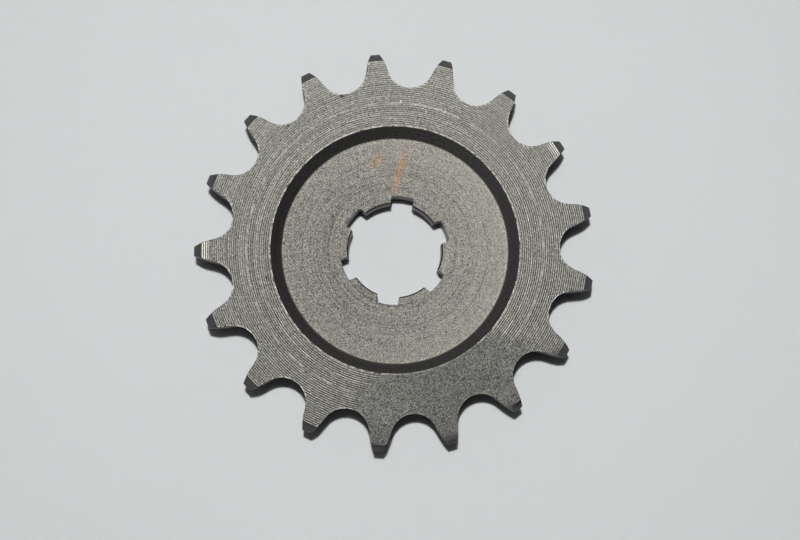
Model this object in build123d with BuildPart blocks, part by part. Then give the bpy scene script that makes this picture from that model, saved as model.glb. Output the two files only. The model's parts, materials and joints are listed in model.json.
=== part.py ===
from build123d import *
import math
import os

# Chain sprocket for half-inch roller chain with a splined bore, one piece of steel.
# It is made here as it is made in a workshop: a turned blank, tooth gaps cut through its rim, and
# a spline broached through its middle.
# Millimetres. The origin is on the bore axis in the plane of the back face, +Z points to the
# recessed face, and +Y runs through the one tooth that stands in line with a spline slot.

# Chain and teeth
tooth_count = 17
chain_pitch = 12.7
seat_radius = 4.40          # arc that a chain roller of 8.51 mm diameter sits in
seating_angle = 135.0       # how much of that arc each gap has
flank_radius = 19.4         # convex flank above the seat
tip_diameter = 73.7
tip_bevel_width = 1.6       # radial width of the cone at the tips, on both sides
tip_bevel_drop = 1.6        # axial height of that cone

# Body
thickness = 7.0
recess_diameter = 45.5      # sharp rim of the recess
recess_depth = 2.2
recess_wall_run = 1.85      # how far the sloped wall comes in between rim and floor
recess_foot_radius = 0.4    # tool radius where the wall meets the floor

# Spline: six slots with parallel sides and round floors
slot_count = 6
slot_width = 4.1
spline_major_diameter = 20.2
spline_minor_diameter = 17.3
slot_corner_radius = 0.3
land_chamfer = 0.25         # on the lands alone, at both ends of the bore

# Cutting
cutter_overrun = 1.0        # how far the gap cutter runs past the tips

# Worked out from the sizes above
pitch_radius = chain_pitch / (2 * math.sin(math.pi / tooth_count))
tip_radius = tip_diameter / 2
bevel_radius = tip_radius - tip_bevel_width
recess_radius = recess_diameter / 2
recess_foot = recess_radius - recess_wall_run
recess_floor = thickness - recess_depth
land_radius = spline_minor_diameter / 2


def flank_sweep(outer_radius):
    """Degrees of the flank arc from the end of the seat out to a circle about the sprocket's axis.

    The seat's end, the flank's centre and the roller's centre are in one line. The law of cosines
    in the triangle of the sprocket's axis, the flank's centre and a point on the flank then gives
    the angle at the flank's centre, once for the end of the seat and once for the outer circle.
    """
    half = math.radians(seating_angle / 2)

    def from_axis(along):
        """Distance from the axis of a point that far from the roller's centre on that line."""
        return math.hypot(along * math.sin(half), pitch_radius - along * math.cos(half))

    centre = from_axis(seat_radius + flank_radius)

    def angle_at_centre(radius):
        """Angle at the flank's centre between the axis and the flank's point that far from it."""
        cosine = (centre**2 + flank_radius**2 - radius**2) / (2 * centre * flank_radius)
        return math.degrees(math.acos(cosine))

    return angle_at_centre(outer_radius) - angle_at_centre(from_axis(seat_radius))


# One tooth gap, on +Y: the roller's seat at the pitch circle, and a flank that bulges into the
# gap on each side and runs out past the tips, to an arc about the sprocket's axis
with BuildSketch() as tooth_gap:
    with BuildLine():
        seat = CenterArc((0, pitch_radius), seat_radius, -90 - seating_angle / 2, seating_angle)
        sweep_out = flank_sweep(tip_radius + cutter_overrun)
        left_flank = JernArc(seat @ 0, -(seat % 0), flank_radius, sweep_out)
        right_flank = JernArc(seat @ 1, seat % 1, flank_radius, -sweep_out)
        ThreePointArc(left_flank @ 1, (0, tip_radius + cutter_overrun), right_flank @ 1)
    make_face()

# One spline slot, on +Y, from inside the bore to its round floor
with BuildSketch() as spline_slot:
    Circle(spline_major_diameter / 2)
    Rectangle(slot_width, spline_major_diameter, align=(Align.CENTER, Align.MIN), mode=Mode.INTERSECT)
    floor_corners = spline_slot.vertices().group_by(Axis.Y)[-1]
    fillet(floor_corners, radius=slot_corner_radius)

with BuildPart() as sprocket:
    # Turned blank: half-section from the bore out, up over the tip and back down into the recess
    with BuildSketch(Plane.XZ) as half_section:
        with BuildLine():
            Polyline(
                (land_radius + land_chamfer, 0),
                (bevel_radius, 0),
                (tip_radius, tip_bevel_drop),
                (tip_radius, thickness - tip_bevel_drop),
                (bevel_radius, thickness),
                (recess_radius, thickness),
                (recess_foot, recess_floor),
                (land_radius + land_chamfer, recess_floor),
                (land_radius, recess_floor - land_chamfer),
                (land_radius, land_chamfer),
                close=True,
            )
        make_face()
        foot_corner = half_section.vertices().sort_by_distance((recess_foot, 0, recess_floor))[0]
        fillet(foot_corner, radius=recess_foot_radius)
    revolve(axis=Axis.Z)

    # Tooth gaps, with a tooth on +Y between the first and the last of them
    with BuildSketch():
        with PolarLocations(0, tooth_count, start_angle=180 / tooth_count):
            add(tooth_gap.sketch)
    extrude(amount=thickness, mode=Mode.SUBTRACT)

    # Spline slots, the first of them on +Y
    with BuildSketch():
        with PolarLocations(0, slot_count):
            add(spline_slot.sketch)
    extrude(amount=thickness, mode=Mode.SUBTRACT)

sprocket.part.label = "sprocket"

os.makedirs("parts", exist_ok=True)
export_step(sprocket.part, "parts/sprocket.step")

print(f"pitch circle {2 * pitch_radius:.3f} mm, root circle {2 * (pitch_radius - seat_radius):.3f} mm")
print(f"volume {sprocket.part.volume:.1f} mm3")
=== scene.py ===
import json
import logging
import math
from dataclasses import dataclass, field
from enum import IntEnum
from typing import Any

import bpy
import numpy as np
from bpy.types import Material, Node, NodeSocket, NodeTree, Object
from mathutils import Matrix, Vector

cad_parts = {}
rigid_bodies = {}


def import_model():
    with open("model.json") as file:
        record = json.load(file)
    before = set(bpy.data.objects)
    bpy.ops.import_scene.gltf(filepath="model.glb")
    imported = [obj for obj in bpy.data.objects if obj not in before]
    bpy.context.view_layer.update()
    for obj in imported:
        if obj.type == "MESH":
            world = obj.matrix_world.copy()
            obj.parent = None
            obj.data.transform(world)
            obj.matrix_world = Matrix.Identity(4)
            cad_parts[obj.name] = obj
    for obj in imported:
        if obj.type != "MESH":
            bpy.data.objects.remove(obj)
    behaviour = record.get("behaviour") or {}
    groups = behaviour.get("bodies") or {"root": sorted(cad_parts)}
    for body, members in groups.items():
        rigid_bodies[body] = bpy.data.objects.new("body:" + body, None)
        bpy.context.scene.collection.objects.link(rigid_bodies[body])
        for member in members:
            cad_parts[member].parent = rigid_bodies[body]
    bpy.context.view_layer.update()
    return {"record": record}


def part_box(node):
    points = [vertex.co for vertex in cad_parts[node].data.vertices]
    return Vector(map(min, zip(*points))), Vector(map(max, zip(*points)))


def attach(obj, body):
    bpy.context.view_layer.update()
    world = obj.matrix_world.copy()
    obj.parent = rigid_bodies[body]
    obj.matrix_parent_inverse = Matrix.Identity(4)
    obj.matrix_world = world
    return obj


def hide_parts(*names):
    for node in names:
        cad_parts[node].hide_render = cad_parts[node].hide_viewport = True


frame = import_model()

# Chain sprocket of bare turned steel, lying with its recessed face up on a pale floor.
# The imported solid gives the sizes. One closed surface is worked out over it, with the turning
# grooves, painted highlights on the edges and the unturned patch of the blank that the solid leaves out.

NODE = "sprocket"
MM = 0.001
TURN = 2 * math.pi

# Digits that a column's angle and a point's place in millimetres are rounded to, to merge equal ones
ANGLE_DIGITS = 9
PLACE_DIGITS = 5
# A point this near to an outline, in millimetres, lies on it
TOUCH = 1e-6

# Bare steel, as in the scored rings and as painted highlight; a fresh scratch; and the bottom of a pit or
# nick
BARE_AND_HIGHLIGHT = "#b4b1a9"
SCRATCH = "#c4c1b8"
PIT = "#1d1d1c"

# Colour sockets of a Mix node: the lower colour, the upper one and the result
MIX_UNDER, MIX_OVER, MIX_RESULT = 6, 7, 2

log = logging.getLogger("sprocket")


def linear(colour: str) -> tuple[float, float, float, float]:
    """Turn an sRGB hex colour into linear RGBA.

    Args:
        colour: The colour as six hex digits after a hash sign.

    Returns:
        Red, green, blue and alpha for a shader's socket.
    """
    values = [int(colour[i:i + 2], 16) / 255 for i in (1, 3, 5)]
    red, green, blue = (v / 12.92 if v <= 0.04045 else ((v + 0.055) / 1.055) ** 2.4 for v in values)
    return red, green, blue, 1.0


def smooth_step(values: np.ndarray, low: float, high: float) -> np.ndarray:
    """Rise from 0 at low to 1 at high along 3t^2 - 2t^3, level outside.

    Args:
        values: Any array.
        low: Where the rise starts.
        high: Where it ends.

    Returns:
        The risen values, in the shape of the input.
    """
    t = np.clip((values - low) / (high - low), 0, 1)
    return t * t * (3 - 2 * t)


def at_turn(turn: float, radius: float) -> tuple[float, float, float]:
    """Place at an angle from the tooth on +Y, in degrees, and a distance from the axis, at height 0."""
    angle = math.radians(turn)
    return -radius * math.sin(angle), radius * math.cos(angle), 0.0


def ray_to_circle(
    turn: np.ndarray, distance: float, heading: float, radius: float, far: bool) -> np.ndarray:
    """Distance from the axis along each ray to a circle.

    A ray at angle t meets the circle of radius c, whose centre lies at distance d and angle g, where
    r = d cos(t - g) - or + the root of c^2 - d^2 sin^2(t - g): minus on the near side, plus on the far.

    Args:
        turn: Angles of the rays.
        distance: Distance of the circle's centre from the axis.
        heading: Angle of the circle's centre.
        radius: The circle's radius.
        far: Whether the far side is wanted.

    Returns:
        One distance for each ray.
    """
    along = distance * np.cos(turn - heading)
    root = np.sqrt(np.maximum(radius**2 - (distance * np.sin(turn - heading)) ** 2, 0))
    return along + root if far else along - root


@dataclass(frozen=True)
class Unevenness:
    """Smooth random heights over the plane: how high they go, the size of their cells, and a seed."""

    height: float
    size: float
    seed: int
    cells: int = 64

    def at(self, x: np.ndarray, y: np.ndarray) -> np.ndarray:
        """Random heights on a square lattice, eased between its points along 3t^2 - 2t^3.

        The lattice repeats after its number of cells, which is wider than the raw patch.

        Args:
            x: Places along X, in millimetres.
            y: Places along Y, in millimetres.

        Returns:
            Values from minus the height to the height, in the shape of x.
        """
        heights = np.random.default_rng(self.seed).uniform(-1, 1, (self.cells, self.cells))
        column, row = np.floor(x / self.size).astype(int), np.floor(y / self.size).astype(int)
        across = smooth_step(x / self.size - column, 0, 1)
        up = smooth_step(y / self.size - row, 0, 1)

        def corner(step_x: int, step_y: int) -> np.ndarray:
            """Lattice heights at that corner of each cell."""
            return heights[(column + step_x) % self.cells, (row + step_y) % self.cells]

        near = corner(0, 0) * (1 - across) + corner(1, 0) * across
        far = corner(0, 1) * (1 - across) + corner(1, 1) * across
        return self.height * (near * (1 - up) + far * up)


@dataclass(frozen=True)
class ToothForm:
    """Outline of the toothed rim, in millimetres: roller seats, convex flanks and tip lands."""

    count: int
    pitch_radius: float
    tip_radius: float
    seat_radius: float = 4.40
    seat_half_angle: float = math.radians(67.5)
    flank_radius: float = 19.4
    seat_columns: int = 6
    flank_columns: int = 6
    tip_columns: int = 2

    @property
    def step(self) -> float:
        """Angle from one tooth to the next."""
        return TURN / self.count

    @property
    def flank_centre(self) -> tuple[float, float]:
        """Centre of a flank's arc, in line with the end of the seat.

        Returns:
            Its distance from the axis, and its angle from the gap's middle.
        """
        reach = self.seat_radius + self.flank_radius
        aside = reach * math.sin(self.seat_half_angle)
        out = self.pitch_radius - reach * math.cos(self.seat_half_angle)
        return math.hypot(aside, out), math.atan2(aside, out)

    def seat_point(self, along: np.ndarray, inset: float = 0.0) -> tuple[np.ndarray, np.ndarray]:
        """Distance from the axis and angle from the gap's middle of points on the seat.

        Args:
            along: Angles about the roller's centre, from the bottom of the gap.
            inset: How far the outline is moved into the metal.

        Returns:
            Distances and angles.
        """
        radius = self.seat_radius + inset
        aside, out = radius * np.sin(along), self.pitch_radius - radius * np.cos(along)
        return np.hypot(aside, out), np.arctan2(aside, out)

    def radius(self, turn: np.ndarray, inset: float = 0.0) -> np.ndarray:
        """Distance of the outline from the axis at each angle: seat, then flank, then tip circle.

        Args:
            turn: Angles from the tooth on +Y.
            inset: How far the outline is moved into the metal, at right angles to itself.

        Returns:
            One distance for each angle.
        """
        from_gap = np.abs(np.mod(turn, self.step) - self.step / 2)
        seat_end = self.seat_point(np.array(self.seat_half_angle), inset)[1]
        distance, heading = self.flank_centre
        seat = ray_to_circle(from_gap, self.pitch_radius, 0.0, self.seat_radius + inset, far=False)
        flank = ray_to_circle(from_gap, distance, heading, self.flank_radius - inset, far=True)
        return np.where(from_gap < seat_end, seat, np.minimum(flank, self.tip_radius - inset))

    def columns(self) -> np.ndarray:
        """Angles of the mesh columns, in even steps along each seat, flank and tip land.

        Returns:
            Angles from the tooth on +Y, for all the teeth.
        """
        distance, heading = self.flank_centre
        start, seat = self.seat_point(np.linspace(0, self.seat_half_angle, self.seat_columns + 1))
        out = np.linspace(start[-1], self.tip_radius, self.flank_columns + 1)[1:]
        cosine = (out**2 + distance**2 - self.flank_radius**2) / (2 * out * distance)
        flank = heading - np.arccos(cosine)
        tip = np.linspace(flank[-1], self.step / 2, self.tip_columns + 1)[1:]
        half = np.concatenate([seat, flank, tip])
        gaps = (np.arange(self.count) + 0.5) * self.step
        return np.concatenate([gaps[:, None] + half, gaps[:, None] - half]).ravel()


@dataclass(frozen=True)
class SplineForm:
    """Outline of the bore, in millimetres: lands, and slots with parallel walls and round floors."""

    land_radius: float
    count: int = 6
    floor_radius: float = 10.1
    slot_width: float = 4.1
    corner_radius: float = 0.3
    corner_columns: int = 3
    wall_columns: int = 3

    @property
    def step(self) -> float:
        """Angle from one slot to the next."""
        return TURN / self.count

    @property
    def corner(self) -> tuple[float, float]:
        """Distance and angle, from a slot's middle, of the centre of its corner arc."""
        distance = self.floor_radius - self.corner_radius
        return distance, math.asin((self.slot_width / 2 - self.corner_radius) / distance)

    def wall_start(self, inset: float = 0.0) -> float:
        """Angle at which the corner arc runs into the slot's straight wall."""
        distance, heading = self.corner
        return math.atan2(self.slot_width / 2 + inset, distance * math.cos(heading))

    def radius(self, turn: np.ndarray, inset: float = 0.0) -> np.ndarray:
        """Distance of the outline from the axis at each angle: slot floor, corner, wall and land.

        The wall is a straight line at half the slot's width, so its distance is that over the sine.

        Args:
            turn: Angles from the slot on +Y.
            inset: How far the outline is moved into the metal, at right angles to itself.

        Returns:
            One distance for each angle.
        """
        from_slot = np.abs(np.mod(turn + self.step / 2, self.step) - self.step / 2)
        distance, heading = self.corner
        corner = ray_to_circle(from_slot, distance, heading, self.corner_radius + inset, far=True)
        wall = (self.slot_width / 2 + inset) / np.sin(np.maximum(from_slot, heading))
        side = np.where(from_slot < self.wall_start(inset), corner, wall)
        slot = np.where(from_slot < heading, self.floor_radius + inset, side)
        return np.maximum(slot, self.land_radius + inset)

    def columns(self) -> np.ndarray:
        """Angles of the mesh columns at the corners and walls of the slots.

        Returns:
            Angles from the slot on +Y, for all the slots.
        """
        land_start = math.asin(self.slot_width / 2 / self.land_radius)
        corner = np.linspace(self.corner[1], self.wall_start(), self.corner_columns + 1)
        wall = np.linspace(self.wall_start(), land_start, self.wall_columns + 1)[1:]
        half = np.concatenate([corner, wall])
        slots = np.arange(self.count) * self.step
        return np.concatenate([slots[:, None] + half, slots[:, None] - half]).ravel()


@dataclass(frozen=True)
class RecessForm:
    """Section of the recessed face, in millimetres, as height against distance from the axis."""

    floor_height: float
    thickness: float
    land_radius: float
    land_chamfer: float = 0.25
    rim_radius: float = 22.75
    wall_run: float = 1.85
    foot_radius: float = 0.4
    foot_steps: int = 4

    @property
    def chamfered_radius(self) -> float:
        """Distance from the axis at which the lands' chamfer meets a face."""
        return self.land_radius + self.land_chamfer

    def foot(self) -> tuple[np.ndarray, np.ndarray]:
        """Arc between floor and wall, which touches both, with its centre its radius above the floor.

        Returns:
            Distances from the axis and heights.
        """
        slope = math.atan2(self.thickness - self.floor_height, self.wall_run)
        tangent = self.foot_radius * math.tan(slope / 2)
        start = self.rim_radius - self.wall_run - tangent
        turn = np.linspace(0, slope, self.foot_steps + 1)
        out = start + self.foot_radius * np.sin(turn)
        return out, self.floor_height + self.foot_radius * (1 - np.cos(turn))

    def height(self, radius: np.ndarray) -> np.ndarray:
        """Height of chamfer, floor, foot and wall, with the wall carried on past the rim.

        Args:
            radius: Distances from the axis.

        Returns:
            One height for each distance, in straight lines between the corners of the section.
        """
        foot_out, foot_up = self.foot()
        rise = self.thickness - self.floor_height
        out = [self.land_radius, self.chamfered_radius, *foot_out, self.rim_radius + self.wall_run]
        up = [self.floor_height - self.land_chamfer, self.floor_height, *foot_up, self.thickness + rise]
        return np.interp(radius, out, up)


@dataclass(frozen=True)
class TurningMarks:
    """Grooves that the lathe tool leaves, one for each turn of the work, in millimetres.

    The steeper side of each groove is the inner one. Grooves differ in depth by up to the
    unevenness, a share of it, along a random row that is longer than the face has grooves.
    """

    start_radius: float
    feed: float = 0.388
    nose_radius: float = 0.5
    steep_share: float = 0.25
    unevenness: float = 0.35
    row: int = 256
    seed: int = 11

    @property
    def depth(self) -> float:
        """Height of the cusps between grooves: feed squared over eight nose radii."""
        return self.feed**2 / (8 * self.nose_radius)

    def height(self, radius: np.ndarray) -> np.ndarray:
        """Height of the turned surface under its cusps: down along the steep side, then back up.

        Args:
            radius: Distances from the axis.

        Returns:
            Heights from 0 at the cusps down to the floor of each groove.
        """
        across = (radius - self.start_radius) / self.feed
        groove = np.floor(across).astype(int)
        share = across - groove
        down = np.minimum(share / self.steep_share, (1 - share) / (1 - self.steep_share))
        spread = np.random.default_rng(self.seed).uniform(-1, 1, self.row) * self.unevenness
        return -self.depth * (1 + spread[groove % self.row]) * down


@dataclass(frozen=True)
class RawPatch:
    """Part of the face where the forged blank lies too low for the tool to have cleaned it up.

    It is bounded by two lines, each from an inner to an outer point, given by angle from the tooth
    on +Y in degrees and distance from the axis in millimetres. Between them the blank falls away
    from each line, and outwards. The border is ragged, and the forged skin is rough.
    """

    first_inner: tuple[float, float] = (60.3, 22.9)
    first_outer: tuple[float, float] = (53.3, 30.2)
    last_inner: tuple[float, float] = (117.3, 23.8)
    last_outer: tuple[float, float] = (126.3, 35.4)
    outward_start: float = 21.8
    outward_slope: float = 0.08
    side_slope: float = 0.08
    side_ease: float = 2.0
    border: tuple[Unevenness, Unevenness] = (Unevenness(0.9, 2.6, 3), Unevenness(0.35, 0.9, 4))
    skin: tuple[Unevenness, Unevenness] = (Unevenness(0.004, 1.7, 5), Unevenness(0.003, 0.7, 6))

    def beyond(
        self, x: np.ndarray, y: np.ndarray, inner: tuple[float, float], outer: tuple[float, float],
    ) -> np.ndarray:
        """Distance of each place to the left of a line: its cross product with the line's direction.

        Args:
            x: Places along X.
            y: Places along Y.
            inner: Angle and distance of the line's inner point.
            outer: Angle and distance of its outer point.

        Returns:
            Distances in millimetres, below 0 to the right of the line.
        """
        start, end = at_turn(*inner), at_turn(*outer)
        run = np.subtract(end, start) / math.dist(start, end)
        return (y - start[1]) * run[0] - (x - start[0]) * run[1]

    def height(self, x: np.ndarray, y: np.ndarray) -> np.ndarray:
        """Height of the raw blank over the turned face: above it all round and below it in the patch.

        With d the distance outside the nearer line, made uneven, and w the ease, it rises beside the
        line by the side slope times the root of d^2 + w^2, less w, with the sign of d. Outwards it
        falls by the outward slope. The higher of the two holds.

        Args:
            x: Places along X.
            y: Places along Y.

        Returns:
            Heights in millimetres, in the shape of x.
        """
        before = -self.beyond(x, y, self.first_inner, self.first_outer)
        after = self.beyond(x, y, self.last_inner, self.last_outer)
        outside = np.maximum(before, after) + sum(layer.at(x, y) for layer in self.border)
        eased = np.sign(outside) * (np.hypot(outside, self.side_ease) - self.side_ease)
        outwards = (self.outward_start - np.hypot(x, y)) * self.outward_slope
        return np.maximum(eased * self.side_slope, outwards) + sum(layer.at(x, y) for layer in self.skin)


def add_node(
    tree: NodeTree, kind: str, settings: dict[str, Any] | None = None,
    inputs: dict[str | int, Any] | None = None) -> Node:
    """Add one node with its settings, values and links.

    Args:
        tree: The material's node tree.
        kind: The node's type name, without ShaderNode.
        settings: Properties of the node by name.
        inputs: A value, or the socket to link from, for each input by name or number.

    Returns:
        The new node.
    """
    node = tree.nodes.new("ShaderNode" + kind)
    for name, value in (settings or {}).items():
        setattr(node, name, value)
    for name, value in (inputs or {}).items():
        if isinstance(value, NodeSocket):
            tree.links.new(value, node.inputs[name])
        else:
            node.inputs[name].default_value = value
    return node


def flat_place(tree: NodeTree) -> NodeSocket:
    """Place on the sprocket in metres, with its height taken off."""
    places = add_node(tree, "TexCoord").outputs["Object"]
    return add_node(tree, "VectorMath", {"operation": "MULTIPLY"}, {0: places, 1: (1, 1, 0)}).outputs[0]


def from_axis(tree: NodeTree) -> NodeSocket:
    """Distance of a place from the sprocket's axis, in metres."""
    return add_node(tree, "VectorMath", {"operation": "LENGTH"}, {0: flat_place(tree)}).outputs["Value"]


def toned(
    tree: NodeTree, dark: str, light: str, fields: list[tuple[NodeSocket, float, float]]) -> NodeSocket:
    """Colour between a dark and a light one by a tone, which is a half plus its fields' swings.

    Args:
        tree: The material's node tree.
        dark: The colour at a tone of 0 and below.
        light: The colour at a tone of 1 and above.
        fields: Each field with its middle value, and the share of its swing about that in the tone.

    Returns:
        The colour's socket.
    """
    tone: Any = 0.5 - sum(middle * share for _, middle, share in fields)
    for value, _, share in fields:
        tone = add_node(
            tree, "Math", {"operation": "MULTIPLY_ADD"}, {0: value, 1: share, 2: tone}).outputs[0]
    return add_node(
        tree, "Mix", {"data_type": "RGBA", "clamp_factor": True},
        {"Factor": tone, MIX_UNDER: linear(dark), MIX_OVER: linear(light)}).outputs[MIX_RESULT]


def lay_over(tree: NodeTree, colour: NodeSocket, mark: str, covers: list[NodeSocket]) -> NodeSocket:
    """Lay the colour of a mark over the steel, where all of its covers are there.

    Args:
        tree: The material's node tree.
        colour: The steel's colour.
        mark: The mark's colour in hex digits.
        covers: Fields from 0, bare, to 1, covered. Their product is the share of the mark.

    Returns:
        The colour's socket.
    """
    share = covers[0]
    for cover in covers[1:]:
        share = add_node(tree, "Math", {"operation": "MULTIPLY"}, {0: share, 1: cover}).outputs[0]
    return add_node(
        tree, "Mix", {"data_type": "RGBA"},
        {"Factor": share, MIX_UNDER: colour, MIX_OVER: linear(mark)}).outputs[MIX_RESULT]


@dataclass(frozen=True)
class Mottle:
    """Broken cover, full in some patches and bare in others.

    Size is the width of its cells in millimetres, and detail how many finer layers they have, each
    with fineness times the strength of the last. The noise runs about a half: the cover is 0 where
    that is at start, and at its most beyond full.
    """

    size: float
    detail: float
    start: float = 0.0
    full: float = 1.0
    most: float = 1.0
    fineness: float = 0.6

    def cover(self, tree: NodeTree) -> NodeSocket:
        """Add the cover's nodes.

        Args:
            tree: The material's node tree.

        Returns:
            A socket with values from 0 to the most.
        """
        uneven = add_node(
            tree, "TexNoise", None,
            {"Vector": add_node(tree, "TexCoord").outputs["Object"], "Scale": 1 / (self.size * MM),
             "Detail": self.detail, "Roughness": self.fineness})
        return add_node(
            tree, "MapRange", None,
            {"Value": uneven.outputs["Fac"], "From Min": self.start, "From Max": self.full,
             "To Max": self.most}).outputs[0]


@dataclass(frozen=True)
class Spot:
    """Small round mark on a face, in millimetres, with its angle from the tooth on +Y in degrees.

    Core is the share of its size that it covers in full.
    """

    turn: float
    radius: float
    size: float
    core: float = 0.6

    def cover(self, tree: NodeTree) -> NodeSocket:
        """Cover of the mark: 1 in its core, falling to 0 at its edge.

        Args:
            tree: The material's node tree.

        Returns:
            A socket with values from 0 to 1.
        """
        middle, edge = at_turn(self.turn, self.radius * MM), self.size * MM
        away = add_node(tree, "VectorMath", {"operation": "DISTANCE"}, {0: flat_place(tree), 1: middle})
        return add_node(
            tree, "MapRange", None,
            {"Value": away.outputs["Value"], "From Min": edge, "From Max": self.core * edge}).outputs[0]


@dataclass(frozen=True)
class Swipe:
    """Straight swipe of a paint stick, in millimetres, with its angles in degrees.

    Its middle is given by angle from the tooth on +Y and distance from the axis, and lean turns it
    from the radius. Most is its cover up to the inner share of its half width and half length, and
    beyond the outer share there is none.
    """

    turn: float
    radius: float
    half_length: float
    half_width: float
    lean: float
    most: float
    inner: float = 0.4
    outer: float = 1.2

    def cover(self, tree: NodeTree) -> NodeSocket:
        """Cover of the swipe, by the greater of the shares across and along it.

        Args:
            tree: The material's node tree.

        Returns:
            A socket with values from 0 to the most.
        """
        local = add_node(
            tree, "Mapping", {"vector_type": "TEXTURE"},
            {"Vector": flat_place(tree), "Location": at_turn(self.turn, self.radius * MM),
             "Rotation": (0, 0, math.radians(self.turn + self.lean)),
             "Scale": (self.half_width * MM, self.half_length * MM, 1)})
        away = add_node(tree, "VectorMath", {"operation": "ABSOLUTE"}, {0: local.outputs[0]})
        sides = add_node(tree, "SeparateXYZ", None, {0: away.outputs[0]}).outputs
        share = add_node(tree, "Math", {"operation": "MAXIMUM"}, {0: sides[0], 1: sides[1]})
        return add_node(
            tree, "MapRange", None,
            {"Value": share.outputs[0], "From Min": self.outer, "From Max": self.inner,
             "To Max": self.most}).outputs[0]


@dataclass(frozen=True)
class ScoredRings:
    """Narrow rings about the axis that come and go on their way round, in millimetres."""

    radii: tuple[float, ...]
    half_width: float
    colour: str
    breaks: Mottle

    def lay(self, tree: NodeTree, colour: NodeSocket) -> NodeSocket:
        """Lay the rings over the steel.

        Args:
            tree: The material's node tree.
            colour: The steel's colour.

        Returns:
            The colour's socket.
        """
        radius, broken = from_axis(tree), self.breaks.cover(tree)
        for middle in self.radii:
            on_ring = add_node(
                tree, "Math", {"operation": "COMPARE"},
                {0: radius, 1: middle * MM, 2: self.half_width * MM}).outputs[0]
            colour = lay_over(tree, colour, self.colour, [on_ring, broken])
        return colour


@dataclass(frozen=True)
class SteelFinish:
    """What every steel finish here has: a sandy blend of a pale and a dark tone over a fine grain.

    The dark grains are a little rougher than the pale ones, and the grain stands up slightly. The
    real grain is a few hundredths of a millimetre, and is drawn coarser so that it shows. Each turn
    of the work leaves a ring, a little paler or darker than the next: ring is its share of the tone
    and ring_changes how often it changes on its way round. Painted shade makes one side darker: the
    painted side shade is the change of tone for each millimetre across, and the lit side turn is
    the angle of the lightest side from the tooth on +Y, in degrees.
    """

    name: str
    light: str
    dark: str
    roughness: float
    grain: float = 0.18
    speckle: float = 0.6
    roughness_spread: float = 0.05
    grain_height: float = 0.003
    ring_width: float = 0.3
    ring: float = 0.5
    ring_changes: float = 1.0
    painted_side_shade: float = 0.0
    lit_side_turn: float = 0.0

    def rings(self, tree: NodeTree) -> NodeSocket:
        """Uneven field in rings: noise over the number of the ring and the direction from the axis.

        Args:
            tree: The material's node tree.

        Returns:
            A socket with values about a half.
        """
        count = add_node(
            tree, "Math", {"operation": "DIVIDE"}, {0: from_axis(tree), 1: self.ring_width * MM})
        heading = add_node(tree, "VectorMath", {"operation": "NORMALIZE"}, {0: flat_place(tree)})
        around = add_node(
            tree, "VectorMath", {"operation": "SCALE"}, {0: heading.outputs[0], "Scale": self.ring_changes})
        sides = add_node(tree, "SeparateXYZ", None, {0: around.outputs[0]}).outputs
        place = add_node(tree, "CombineXYZ", None, {0: count.outputs[0], 1: sides[0], 2: sides[1]})
        return add_node(
            tree, "TexNoise", None,
            {"Vector": place.outputs[0], "Scale": 1.0, "Detail": 1.0, "Roughness": 0.5}).outputs["Fac"]

    def towards(self, tree: NodeTree, turn: float) -> NodeSocket:
        """How far a place lies from the axis towards an angle from the tooth on +Y, in metres.

        Args:
            tree: The material's node tree.
            turn: The angle in degrees.

        Returns:
            A socket with distances, below 0 on the other side.
        """
        way = at_turn(turn, 1.0)
        along = add_node(tree, "VectorMath", {"operation": "DOT_PRODUCT"}, {0: flat_place(tree), 1: way})
        return along.outputs["Value"]

    def colour(self, tree: NodeTree, grain: NodeSocket) -> NodeSocket:
        """Colour of plain turned steel: faint rings and an even grain.

        Args:
            tree: The material's node tree.
            grain: The grain's field.

        Returns:
            The colour's socket.
        """
        return toned(
            tree, self.dark, self.light, [(self.rings(tree), 0.5, self.ring), (grain, 0.5, self.speckle)])

    def rough(self, tree: NodeTree, grain: NodeSocket) -> NodeSocket:
        """Roughness of the steel, from its rough dark grains to its smooth pale ones.

        Args:
            tree: The material's node tree.
            grain: The grain's field.

        Returns:
            The roughness's socket.
        """
        return add_node(
            tree, "MapRange", None,
            {"Value": grain, "To Min": self.roughness + self.roughness_spread,
             "To Max": self.roughness - self.roughness_spread}).outputs[0]

    def material(self) -> Material:
        """Make the material: a metal with the default IOR, coloured, roughened and raised by its grain.

        Returns:
            The steel.
        """
        material = bpy.data.materials.new(self.name)
        material.use_nodes = True
        tree = material.node_tree
        shader = next(node for node in tree.nodes if node.type == "BSDF_PRINCIPLED")
        shader.inputs["Metallic"].default_value = 1.0
        # Each grain is a cell, and its random colour is read as a value from 0, dark, to 1, pale
        cells = add_node(
            tree, "TexVoronoi", None,
            {"Vector": add_node(tree, "TexCoord").outputs["Object"], "Scale": 1 / (self.grain * MM)})
        grain = cells.outputs["Color"]
        raised = add_node(
            tree, "Bump", {"invert": True},
            {"Height": cells.outputs["Distance"], "Strength": 1.0, "Distance": self.grain_height * MM})
        tree.links.new(self.colour(tree, grain), shader.inputs["Base Color"])
        tree.links.new(self.rough(tree, grain), shader.inputs["Roughness"])
        tree.links.new(raised.outputs[0], shader.inputs["Normal"])
        return material


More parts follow.
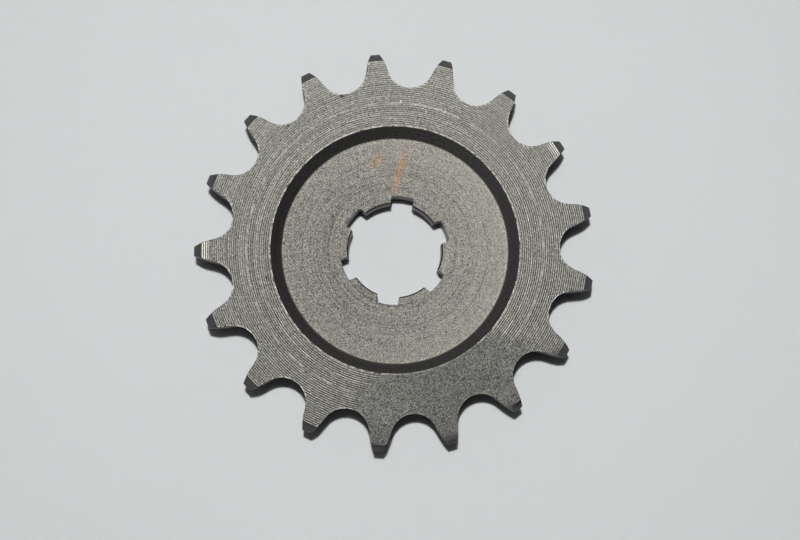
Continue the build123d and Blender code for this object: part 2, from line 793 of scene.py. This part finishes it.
@dataclass(frozen=True)
class ForgedSkin:
    """Skin of the forged blank: dull and sandy on faint clouds, pitted, and with painted shade towards the
    tips.

    The tips start and end at distances from the axis in millimetres.
    """

    light: str = "#9a9993"
    dark: str = "#4d4c4a"
    speckle: float = 1.6
    cloud: float = 0.25
    clouds: Mottle = Mottle(2.5, 3.0)
    tip_start: float = 34.4
    tip_end: float = 36.4
    tip_shade: float = 0.35
    pits: Mottle = Mottle(0.4, 1.0, start=0.34, full=0.28, most=0.7)
    dullness: float = 0.2

    def colour(self, tree: NodeTree, grain: NodeSocket) -> NodeSocket:
        """Colour of the skin.

        Args:
            tree: The material's node tree.
            grain: The grain's field.

        Returns:
            The colour's socket.
        """
        # Painted shade towards the tips, for the rounding of the blank's edge
        tip = add_node(
            tree, "MapRange", None,
            {"Value": from_axis(tree), "From Min": self.tip_start * MM, "From Max": self.tip_end * MM})
        colour = toned(
            tree, self.dark, self.light,
            [(grain, 0.5, self.speckle), (self.clouds.cover(tree), 0.5, self.cloud),
             (tip.outputs[0], 0.0, -self.tip_shade)])
        return lay_over(tree, colour, PIT, [self.pits.cover(tree)])


@dataclass(frozen=True)
class CoarseTurnedSteel(SteelFinish):
    """Case-hardening steel turned with a coarse feed, with some of the forged skin left on it.

    The cusps between the grooves are painted pale as painted highlight, and the groove floors dark,
    as dark dirt and painted shade. The tone's rise from floor to cusp goes from the faint shade swing
    to the strong shade swing across the face, over a reach to each side of the axis, and is greatest
    towards the strong shade turn, in degrees. Two grooves are scored brighter, the cusps at two tips
    carry more painted highlight, and the edges carry a painted highlight.
    """

    ring: float = 0.25
    ring_changes: float = 2.4
    marks: TurningMarks = field(kw_only=True)
    faint_shade_swing: float = 0.5
    strong_shade_swing: float = 1.15
    strong_shade_turn: float = 110.0
    reach: float = 36.4
    skin: ForgedSkin = ForgedSkin()
    scored: ScoredRings = ScoredRings(
        (25.06, 27.13), 0.05, BARE_AND_HIGHLIGHT, Mottle(2.2, 3.0, start=0.4, full=0.66, most=0.75))
    # Breaks in the painted edge highlight
    highlight_breaks: Mottle = Mottle(0.9, 2.0, start=0.38, full=0.58)
    tip_highlights: tuple[Spot, ...] = ()
    # Distances from the axis, and cosines over a groove, between which a painted highlight spot grows
    highlight_start: float = 33.7
    highlight_full: float = 34.7
    cusp_foot: float = -0.2
    cusp_top: float = 0.7
    nicks: tuple[Spot, ...] = ()
    flecks: tuple[Spot, ...] = ()

    def cusps(self, tree: NodeTree) -> NodeSocket:
        """Cosine over the grooves: 1 on the cusps and -1 on the floors.

        Args:
            tree: The material's node tree.

        Returns:
            The cosine's socket.
        """
        wave = TURN / (self.marks.feed * MM)
        phase = add_node(
            tree, "Math", {"operation": "MULTIPLY_ADD"},
            {0: from_axis(tree), 1: wave, 2: -wave * self.marks.start_radius * MM})
        return add_node(tree, "Math", {"operation": "COSINE"}, {0: phase.outputs[0]}).outputs[0]

    def turned(self, tree: NodeTree, grain: NodeSocket) -> NodeSocket:
        """Colour of the turned face: cusps, rings and grain, with scored rings and painted highlights at
        two tips on top.

        Args:
            tree: The material's node tree.
            grain: The grain's field.

        Returns:
            The colour's socket.
        """
        cusp = self.cusps(tree)
        # Dirt and painted shade in the groove floors, painted highlight on the cusps, swinging most towards
        # one side
        dirt_and_shade_swing = add_node(
            tree, "MapRange", None,
            {"Value": self.towards(tree, self.strong_shade_turn), "From Min": -self.reach * MM,
             "From Max": self.reach * MM, "To Min": self.faint_shade_swing, "To Max": self.strong_shade_swing})
        swing = add_node(tree, "Math", {"operation": "MULTIPLY"}, {0: cusp, 1: dirt_and_shade_swing.outputs[0]})
        # The cosine runs from -1 to 1, so half of the swing gives the whole rise
        colour = toned(
            tree, self.dark, self.light,
            [(swing.outputs[0], 0.0, 0.5), (self.rings(tree), 0.5, self.ring),
             # The pull towards the lit side paints shade over the other side
             (grain, 0.5, self.speckle), (self.towards(tree, self.lit_side_turn), 0.0, self.painted_side_shade / MM)])
        colour = self.scored.lay(tree, colour)

        # Painted highlight on the cusps near the tips, within two spots
        on_cusp = add_node(
            tree, "MapRange", None, {"Value": cusp, "From Min": self.cusp_foot, "From Max": self.cusp_top})
        near_tip = add_node(
            tree, "MapRange", None,
            {"Value": from_axis(tree), "From Min": self.highlight_start * MM,
             "From Max": self.highlight_full * MM})
        for spot in self.tip_highlights:
            covers = [spot.cover(tree), on_cusp.outputs[0], near_tip.outputs[0]]
            colour = lay_over(tree, colour, BARE_AND_HIGHLIGHT, covers)
        return colour

    def rough(self, tree: NodeTree, grain: NodeSocket) -> NodeSocket:
        """Roughness of the ring, which is duller where it is raw.

        Args:
            tree: The material's node tree.
            grain: The grain's field.

        Returns:
            The roughness's socket.
        """
        raw = add_node(tree, "Attribute", {"attribute_name": "raw"}).outputs["Fac"]
        return add_node(
            tree, "Math", {"operation": "MULTIPLY_ADD"},
            {0: raw, 1: self.skin.dullness, 2: super().rough(tree, grain)}).outputs[0]

    def colour(self, tree: NodeTree, grain: NodeSocket) -> NodeSocket:
        """Colour of the ring: turned or raw, with painted highlight on the edges, dark nicks and bright
        flecks.

        Args:
            tree: The material's node tree.
            grain: The grain's field.

        Returns:
            The colour's socket.
        """
        raw = add_node(tree, "Attribute", {"attribute_name": "raw"}).outputs["Fac"]
        colour = add_node(
            tree, "Mix", {"data_type": "RGBA"},
            {"Factor": raw, MIX_UNDER: self.turned(tree, grain), MIX_OVER: self.skin.colour(tree, grain)}
        ).outputs[MIX_RESULT]
        # Painted highlight along the edges, broken in places
        worn = add_node(tree, "Attribute", {"attribute_name": "worn"}).outputs["Fac"]
        colour = lay_over(tree, colour, BARE_AND_HIGHLIGHT, [worn, self.highlight_breaks.cover(tree)])
        for spot in self.nicks:
            colour = lay_over(tree, colour, PIT, [spot.cover(tree)])
        for spot in self.flecks:
            colour = lay_over(tree, colour, SCRATCH, [spot.cover(tree)])
        return colour


@dataclass(frozen=True)
class FineTurnedSteel(SteelFinish):
    """The same steel turned with a fine feed: a sandy grey floor with faint rings, clearest by the bore.

    Between the distances inner and outer, the rings' share of the tone falls from inner_ring to
    ring, and the steel grows paler by rise. Two dark rings show where the tool stopped, a fleck is
    bright, and a paint stick left a patchy swipe and a smudge.
    """

    ring: float = 0.1
    ring_changes: float = 0.8
    inner_ring: float = 0.75
    inner: float = 10.0
    outer: float = 20.7
    rise: float = 0.18
    stops: ScoredRings = ScoredRings(
        (14.35, 17.1), 0.08, "#43413e", Mottle(4.0, 2.0, start=0.36, full=0.56, most=0.6))
    paint: str = "#9a683c"
    catch: Mottle = Mottle(0.35, 2.0, start=0.32, full=0.58)
    swipes: tuple[Swipe, ...] = ()
    flecks: tuple[Spot, ...] = ()

    def colour(self, tree: NodeTree, grain: NodeSocket) -> NodeSocket:
        """Colour of the floor: grain and rings, then the tool's stops, the paint and the flecks.

        Args:
            tree: The material's node tree.
            grain: The grain's field.

        Returns:
            The colour's socket.
        """
        radius = from_axis(tree)
        near_bore = add_node(
            tree, "MapRange", None,
            {"Value": radius, "From Min": self.outer * MM, "From Max": self.inner * MM,
             "To Min": self.ring, "To Max": self.inner_ring})
        uneven = add_node(tree, "Math", {"operation": "SUBTRACT"}, {0: self.rings(tree), 1: 0.5})
        swing = add_node(
            tree, "Math", {"operation": "MULTIPLY"}, {0: uneven.outputs[0], 1: near_bore.outputs[0]})
        outwards = add_node(
            tree, "MapRange", None,
            {"Value": radius, "From Min": self.inner * MM, "From Max": self.outer * MM})
        colour = toned(
            tree, self.dark, self.light,
            [(outwards.outputs[0], 0.5, self.rise), (grain, 0.5, self.speckle),
             # The pull towards the lit side paints shade over the other side
             (self.towards(tree, self.lit_side_turn), 0.0, self.painted_side_shade / MM), (swing.outputs[0], 0.0, 1.0)])

        colour = self.stops.lay(tree, colour)
        caught = self.catch.cover(tree)
        for swipe in self.swipes:
            colour = lay_over(tree, colour, self.paint, [swipe.cover(tree), caught])
        for spot in self.flecks:
            colour = lay_over(tree, colour, SCRATCH, [spot.cover(tree)])
        return colour


class Region(IntEnum):
    """Faces of the sprocket by finish, in the order of the mesh's material slots."""

    RING = 0
    FLOOR = 1
    WALL = 2
    BEVEL = 3
    SKIN = 4
    BACK = 5


@dataclass
class SprocketBody:
    """The whole sprocket as one closed surface over a grid of angles and rows, in millimetres.

    The columns stand at fixed angles about the axis. The rows run out over the recessed face, down
    the tooth gaps and tips, in over the back face and up through the bore. A row that would leave
    the metal is held at the outline, and what shrinks to nothing there is dropped. Rows stand
    a face step apart over floor and back, twice that far under the recess, and closer together
    about the ends of the spline slots. The margins keep them off the recess's foot and the bevel.
    """

    teeth: ToothForm
    bore: SplineForm
    recess: RecessForm
    marks: TurningMarks
    patch: RawPatch
    bevel_width: float = 1.6
    bevel_drop: float = 1.6
    edge_break: float = 0.05
    rim_highlight: float = 0.12
    raw_blend: float = 0.012
    wall_rows: int = 4
    groove_rows: int = 4
    recess_wall_rows: int = 4
    bevel_rows: int = 5
    back_bevel_rows: int = 4
    slot_rows: tuple[float, ...] = (9.3, 9.7, 10.15, 10.6, 11.2)
    back_slot_rows: tuple[float, ...] = (9.9, 9.4)
    floor_start: float = 12.0
    floor_margin: float = 0.3
    back_margin: float = 0.6
    back_end: float = 10.0
    face_step: float = 0.8
    sharp_angle: float = math.radians(14)

    @property
    def bevel_radius(self) -> float:
        """Distance from the axis at which the bevel of the tips starts."""
        return self.teeth.tip_radius - self.bevel_width

    def bevel(self, radius: np.ndarray) -> np.ndarray:
        """Fall of the bevel's cone at each distance from the axis, below 0 outside its start."""
        return -(radius - self.bevel_radius) * self.bevel_drop / self.bevel_width

    def front_height(self, radius: np.ndarray, turn: np.ndarray) -> tuple[np.ndarray, np.ndarray]:
        """Height of the recessed face: the lowest of recess, bevel, turned face and raw blank.

        Args:
            radius: Distances from the axis.
            turn: Angles from the tooth on +Y.

        Returns:
            Heights in millimetres, and how raw each place is from 0 to 1.
        """
        x, y = -radius * np.sin(turn), radius * np.cos(turn)
        turned, raw = self.marks.height(radius), self.patch.height(x, y)
        face = self.recess.thickness + np.minimum(turned, raw)
        hollow = self.recess.height(radius)
        height = np.minimum(np.minimum(face, hollow), self.recess.thickness + self.bevel(radius))
        return height, smooth_step(turned - raw, -self.raw_blend, self.raw_blend)

    def front_rows(self) -> tuple[np.ndarray, np.ndarray]:
        """Distances from the axis of the rows on the recessed face, and the region outside each.

        Returns:
            Distances in rising order and one region for each.
        """
        edge, chamfered = self.edge_break, self.recess.chamfered_radius
        foot = self.recess.foot()[0]
        groove_step = self.marks.feed / self.groove_rows
        parts = [
            (np.array([self.recess.land_radius, chamfered - edge]), Region.SKIN),
            (np.array([chamfered, *self.slot_rows]), Region.FLOOR),
            (np.arange(self.floor_start, foot[0] - self.floor_margin, self.face_step), Region.FLOOR),
            (foot[:-1], Region.FLOOR),
            (np.linspace(foot[-1], self.recess.rim_radius - edge, self.recess_wall_rows), Region.WALL),
            (np.arange(self.marks.start_radius, self.bevel_radius, groove_step), Region.RING),
            (np.linspace(self.bevel_radius, self.teeth.tip_radius, self.bevel_rows), Region.BEVEL),
        ]
        radii = np.concatenate([radius for radius, _ in parts])
        return radii, np.concatenate([np.full(radius.size, region) for radius, region in parts])

    def back_rows(self) -> tuple[np.ndarray, np.ndarray]:
        """Distances from the axis of the rows on the back face, and the region inside each.

        Returns:
            Distances in falling order and one region for each.
        """
        rim = self.recess.rim_radius
        bevel = np.linspace(self.teeth.tip_radius, self.bevel_radius, self.back_bevel_rows)
        outer = np.arange(self.bevel_radius - self.back_margin, rim, -self.face_step)
        inner = np.arange(rim, self.back_end, -2 * self.face_step)
        lands = [*self.back_slot_rows, self.recess.chamfered_radius, self.recess.land_radius]
        radii = np.concatenate([bevel, outer, inner, lands])
        regions = np.full(radii.size, Region.BACK)
        regions[:bevel.size - 1] = Region.BEVEL
        regions[-2:] = Region.SKIN
        return radii, regions

    def back_height(self, radius: np.ndarray) -> np.ndarray:
        """Height of the back face: flat, with the tips' bevel and the lands' chamfer."""
        chamfer = self.recess.chamfered_radius - radius
        return np.maximum(np.maximum(-self.bevel(radius), chamfer), 0)

    def grid(self) -> tuple[np.ndarray, np.ndarray, np.ndarray, np.ndarray]:
        """Work out all rows over all columns.

        Returns:
            Points as rows by columns by three in millimetres, each row's region, how raw each point
            is, and how much each point lies on a broken edge, where a highlight is painted.
        """
        columns = np.mod(np.concatenate([self.teeth.columns(), self.bore.columns()]), TURN)
        turn = np.unique(np.round(columns, ANGLE_DIGITS))[None, :]
        out, out_edge = self.teeth.radius(turn), self.teeth.radius(turn, self.edge_break)
        inn, inn_edge = self.bore.radius(turn), self.bore.radius(turn, self.edge_break)

        front_r, front_region = self.front_rows()
        front = np.clip(front_r[:, None], inn_edge, out_edge)
        front_z, raw = self.front_height(front, turn)
        back_r, back_region = self.back_rows()
        back = np.clip(back_r[:, None], inn_edge, out_edge)
        back_z = self.back_height(back)

        share = np.linspace(0, 1, self.wall_rows + 1)[:, None]
        rim_top = self.front_height(out, turn)[0] - self.edge_break
        rim_low = self.back_height(out) + self.edge_break
        rim = np.broadcast_to(out, (share.size, turn.size))
        rim_z = rim_top + (rim_low - rim_top) * share
        bore_low = self.back_height(inn) + self.edge_break
        bore_top = self.front_height(inn, turn)[0] - self.edge_break
        bore = np.broadcast_to(inn, (share.size, turn.size))
        bore_z = bore_low + (bore_top - bore_low) * share

        radius = np.concatenate([front, rim, back, bore])
        height = np.concatenate([front_z, rim_z, back_z, bore_z])
        points = np.stack([-radius * np.sin(turn), radius * np.cos(turn), height], axis=-1)
        walls = np.full(share.size, Region.SKIN)
        regions = np.concatenate([front_region, walls, back_region, walls])
        regions[front_r.size - 1] = Region.SKIN

        bare, worn = np.zeros_like(radius), np.zeros_like(radius)
        bare[:front_r.size] = raw
        # Outline points and the recess rim carry the painted edge highlight
        worn[:front_r.size] = (front >= out_edge - TOUCH) | (front <= inn_edge + TOUCH)
        worn[:front_r.size][np.abs(front_r - self.recess.rim_radius) < self.rim_highlight] = 1.0
        worn[front_r.size] = 1.0
        worn[-1] = 1.0
        return points, regions, bare, worn

    def build(self) -> Object:
        """Make the closed mesh from the grid, with its regions as material slots.

        Each point and its neighbours in the next row and column make a face. Points that fall
        together are merged, so a face there has three corners, or none and is dropped.

        Returns:
            The sprocket's object.
        """
        points, regions, raw, worn = self.grid()
        rows, columns = points.shape[:2]
        number = np.arange(rows * columns).reshape(rows, columns)
        right, above = np.roll(number, -1, axis=1), np.roll(number, -1, axis=0)
        quads = np.stack([number, above, np.roll(above, -1, axis=1), right], axis=-1).reshape(-1, 4)
        face_region = np.repeat(regions, columns)

        flat = points.reshape(-1, 3)
        _, first, same = np.unique(
            np.round(flat, PLACE_DIGITS), axis=0, return_index=True, return_inverse=True)
        quads = same.ravel()[quads]
        changes = quads != np.roll(quads, -1, axis=1)
        corners = changes.sum(axis=1)
        whole, three = corners == 4, corners == 3
        triangles = quads[three][changes[three]].reshape(-1, 3)

        mesh = bpy.data.meshes.new("sprocket_body")
        mesh.from_pydata((flat[first] * MM).tolist(), [], quads[whole].tolist() + triangles.tolist())
        slots = np.concatenate([face_region[whole], face_region[three]])
        mesh.polygons.foreach_set("material_index", slots.astype(np.int32))
        for name, values in (("raw", raw), ("worn", worn)):
            layer = mesh.attributes.new(name, "FLOAT", "POINT")
            layer.data.foreach_set("value", values.ravel()[first].astype(np.float32))
        mesh.shade_smooth()
        mesh.set_sharp_from_angle(angle=self.sharp_angle)
        mesh.update()
        body = bpy.data.objects.new("sprocket_body", mesh)
        bpy.context.scene.collection.objects.link(body)
        log.info("sprocket_body: %d rows by %d columns, %d faces", rows, columns, len(mesh.polygons))
        return body

    def finishes(self) -> dict[Region, SteelFinish]:
        """Choose the finish of each region, with its own marks.

        Returns:
            One finish for each region.
        """
        # Mid-grey steel with a groove for each turn: cusps pale as painted highlight, floors near black as
        # dirt and painted shade
        ring = CoarseTurnedSteel(
            # Painted shade darkens one side of the ring
            "turned_steel", "#797872", "#222120", 0.5, grain=0.14, painted_side_shade=0.003, lit_side_turn=-111.7,
            ring_width=self.marks.feed, marks=self.marks,
            tip_highlights=(Spot(190.6, 34.9, 2.6, core=0.7), Spot(-21.2, 34.9, 2.6, core=0.7)),
            nicks=(Spot(-8.9, 24.0, 0.3, core=0.1), Spot(-92.6, 30.05, 0.55, core=0.1),
                   Spot(-70.9, 30.2, 0.4, core=0.1)),
            flecks=(Spot(-113.9, 27.6, 0.1), Spot(-113.9, 27.3, 0.09), Spot(-121.4, 27.5, 0.09),
                    Spot(-122.9, 26.6, 0.11), Spot(-124.4, 26.1, 0.09)))
        # Sandy grey steel that scatters the light evenly, so that its rings show only by the bore, with
        # painted shade darkening one side
        floor = FineTurnedSteel(
            "fine_turned_steel", "#918f87", "#373533", 0.6, grain=0.11, speckle=1.15, painted_side_shade=0.0075,
            lit_side_turn=158.3,
            swipes=(Swipe(-114.8, 14.8, 4.1, 0.6, lean=-12.5, most=0.65),
                    Swipe(-99.6, 16.9, 1.5, 0.9, lean=-50.0, most=0.45)),
            flecks=(Spot(-53.5, 13.3, 0.12),))
        return {
            Region.RING: ring,
            Region.FLOOR: floor,
            # Sloped wall, cut clean by the tool's flank: it mirrors the dim room as a dark band
            Region.WALL: SteelFinish("turned_wall_steel", "#82817f", "#494847", 0.42),
            # Cone cut with a light feed: an even grey without grooves, so the tips end in a crisp line
            Region.BEVEL: SteelFinish("turned_bevel_steel", "#737271", "#414040", 0.4),
            # Dark steel on the walls of gaps and bore: darker than the cut faces
            Region.SKIN: SteelFinish("dark_hardened_skin", "#656361", "#393837", 0.45),
            # Turned with the ring's feed by a rounder tool, so that its rings show in tone alone
            Region.BACK: SteelFinish(
                "turned_steel_back", "#82807a", "#383734", 0.5, ring_width=self.marks.feed, ring=0.9),
        }

    def dress(self, sprocket: Object) -> None:
        """Give each region its finish, in the order of the material slots.

        Args:
            sprocket: The sprocket's object.
        """
        finishes = self.finishes()
        for region in Region:
            sprocket.data.materials.append(finishes[region].material())
            log.info("sprocket_body: %s in %s", region.name.lower(), finishes[region].name)


@dataclass(frozen=True)
class MattCard:
    """Matt white card: soft and even, with a little of the light spread inside it.

    That spread, over a depth in millimetres, lightens the edges of the shadows.
    """

    name: str = "matt_white_card"
    colour: str = "#dcdfdf"
    roughness: float = 0.9
    specular: float = 0.2
    glow: float = 0.35
    depth: float = 1.5

    def material(self) -> Material:
        """Make the card's material.

        Returns:
            The card.
        """
        material = bpy.data.materials.new(self.name)
        material.use_nodes = True
        shader = next(node for node in material.node_tree.nodes if node.type == "BSDF_PRINCIPLED")
        shader.inputs["Base Color"].default_value = linear(self.colour)
        shader.inputs["Roughness"].default_value = self.roughness
        shader.inputs["Specular IOR Level"].default_value = self.specular
        shader.subsurface_method = "BURLEY"
        shader.inputs["Subsurface Weight"].default_value = self.glow
        shader.inputs["Subsurface Radius"].default_value = (1.0, 1.0, 1.0)
        shader.inputs["Subsurface Scale"].default_value = self.depth * MM
        return material


@dataclass(frozen=True)
class Studio:
    """Pale floor, soft light and the camera over the sprocket.

    Sideways places are millimetres in the picture's own directions, right and up. The picture is
    turned by image_turn from the sprocket's X and Y. The target and the camera's distance are
    millimetres in the sprocket's frame, and the clip distances are metres.
    """

    image_turn: float = math.radians(-111.65)
    lean: float = math.radians(5.5925)
    side_lean: float = math.radians(-1.4474)
    target: tuple[float, float, float] = (-3.918, 0.645, 7.0)
    distance: float = 215.49
    lens: float = 53.19
    clip: tuple[float, float] = (0.01, 10.0)
    floor_half: float = 900.0
    card: MattCard = MattCard()
    key_place: tuple[float, float, float] = (-12.0, 53.0, 300.0)
    key_size: float = 15.0
    key_power: float = 0.79
    horizon: float = 0.55
    rim_power: float = 2.5
    bright_side: tuple[float, float, float] = (-0.75, 0.66, 0.0)
    dim_facing: float = -0.8
    dim_share: float = 0.4

    def in_frame(self, way: tuple[float, float, float]) -> Vector:
        """A direction or place of the picture, turned into the sprocket's frame."""
        return Matrix.Rotation(self.image_turn, 3, "Z") @ Vector(way)

    def floor(self) -> None:
        """Lay the floor under the sprocket."""
        side = self.floor_half * MM
        corners = [(-side, -side, 0), (side, -side, 0), (side, side, 0), (-side, side, 0)]
        mesh = bpy.data.meshes.new("floor")
        mesh.from_pydata(corners, [], [(0, 1, 2, 3)])
        mesh.materials.append(self.card.material())
        floor = bpy.data.objects.new("floor", mesh)
        bpy.context.scene.collection.objects.link(floor)

    def lamp(self, name: str, place: tuple[float, float, float], size: float, power: float) -> None:
        """Hang a round soft lamp that faces the sprocket, and lights it evenly all over.

        Args:
            name: The lamp's name.
            place: Where it hangs, in the picture's directions.
            size: Its diameter in millimetres.
            power: Its power in watts.
        """
        light = bpy.data.lights.new(name, "AREA")
        light.shape = "DISK"
        light.size = size * MM
        light.energy = power
        light.use_nodes = True
        tree = light.node_tree
        emission = next(node for node in tree.nodes if node.type == "EMISSION")
        away = Vector(place).length * MM
        level = add_node(tree, "LightFalloff", None, {"Strength": 1 / away**2})
        tree.links.new(level.outputs["Constant"], emission.inputs["Strength"])
        lamp = bpy.data.objects.new(name, light)
        lamp.location = self.in_frame(place) * MM
        lamp.rotation_mode = "QUATERNION"
        lamp.rotation_quaternion = (-lamp.location).to_track_quat("-Z", "Y")
        bpy.context.scene.collection.objects.link(lamp)

    def world(self) -> None:
        """Set the surroundings: dark overhead and paler low down, most of all on the bright side.

        The light at height z is the horizon's times (1 - z) to the rim's power, and the side that
        faces away from the bright side has a lower share of it.
        """
        world = bpy.data.worlds.new("dim_room")
        world.use_nodes = True
        tree = world.node_tree
        background = next(node for node in tree.nodes if node.type == "BACKGROUND")
        heading = add_node(tree, "TexCoord").outputs["Generated"]
        height = add_node(tree, "SeparateXYZ", None, {0: heading}).outputs[2]
        below = add_node(tree, "Math", {"operation": "SUBTRACT", "use_clamp": True}, {0: 1.0, 1: height})
        rim = add_node(tree, "Math", {"operation": "POWER"}, {0: below.outputs[0], 1: self.rim_power})
        side = tuple(self.in_frame(self.bright_side))
        facing = add_node(tree, "VectorMath", {"operation": "DOT_PRODUCT"}, {0: heading, 1: side})
        share = add_node(
            tree, "MapRange", None,
            {"Value": facing.outputs["Value"], "From Min": self.dim_facing, "From Max": 0.0,
             "To Min": self.dim_share})
        low = add_node(tree, "Math", {"operation": "MULTIPLY"}, {0: rim.outputs[0], 1: share.outputs[0]})
        level = add_node(tree, "Math", {"operation": "MULTIPLY"}, {0: low.outputs[0], 1: self.horizon})
        tree.links.new(level.outputs[0], background.inputs["Strength"])
        background.inputs["Color"].default_value = (1, 1, 1, 1)
        bpy.context.scene.world = world

    def camera(self) -> None:
        """Place the camera: turned with the picture, then leaned over from straight above."""
        data = bpy.data.cameras.new("camera")
        data.lens = self.lens
        data.clip_start, data.clip_end = self.clip
        turned = (
            Matrix.Rotation(self.image_turn, 4, "Z")
            @ Matrix.Rotation(self.lean, 4, "X")
            @ Matrix.Rotation(self.side_lean, 4, "Y")
        )
        camera = bpy.data.objects.new("camera", data)
        place = Vector(self.target) * MM + turned @ Vector((0, 0, self.distance * MM))
        camera.matrix_world = Matrix.Translation(place) @ turned
        bpy.context.scene.collection.objects.link(camera)
        bpy.context.scene.camera = camera

    def build(self) -> None:
        """Set up floor, lights, world and camera."""
        self.floor()
        self.lamp("key", self.key_place, self.key_size, self.key_power)
        self.world()
        self.camera()
        bpy.context.scene.view_settings.view_transform = "Standard"


def main() -> None:
    """Build the sprocket over its solid, dress it, and set up the studio."""
    logging.basicConfig(level=logging.INFO, format="%(name)s: %(message)s")
    low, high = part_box(NODE)
    mounts = {mount["name"]: mount["dims"] for mount in frame["record"]["mounts"]}
    land_radius = mounts["spline_bore"]["r_mm"]
    teeth = ToothForm(
        count=mounts["chain_teeth"]["count"],
        pitch_radius=mounts["chain_teeth"]["pcd_mm"] / 2,
        tip_radius=high.y / MM)
    recess = RecessForm(
        floor_height=mounts["spline_bore"]["length_mm"], thickness=(high.z - low.z) / MM,
        land_radius=land_radius)
    marks = TurningMarks(start_radius=recess.rim_radius)
    body = SprocketBody(teeth, SplineForm(land_radius), recess, marks, RawPatch())
    sprocket = body.build()
    body.dress(sprocket)
    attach(sprocket, "root")
    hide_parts(NODE)
    Studio().build()


if __name__ == "__main__":
    main()
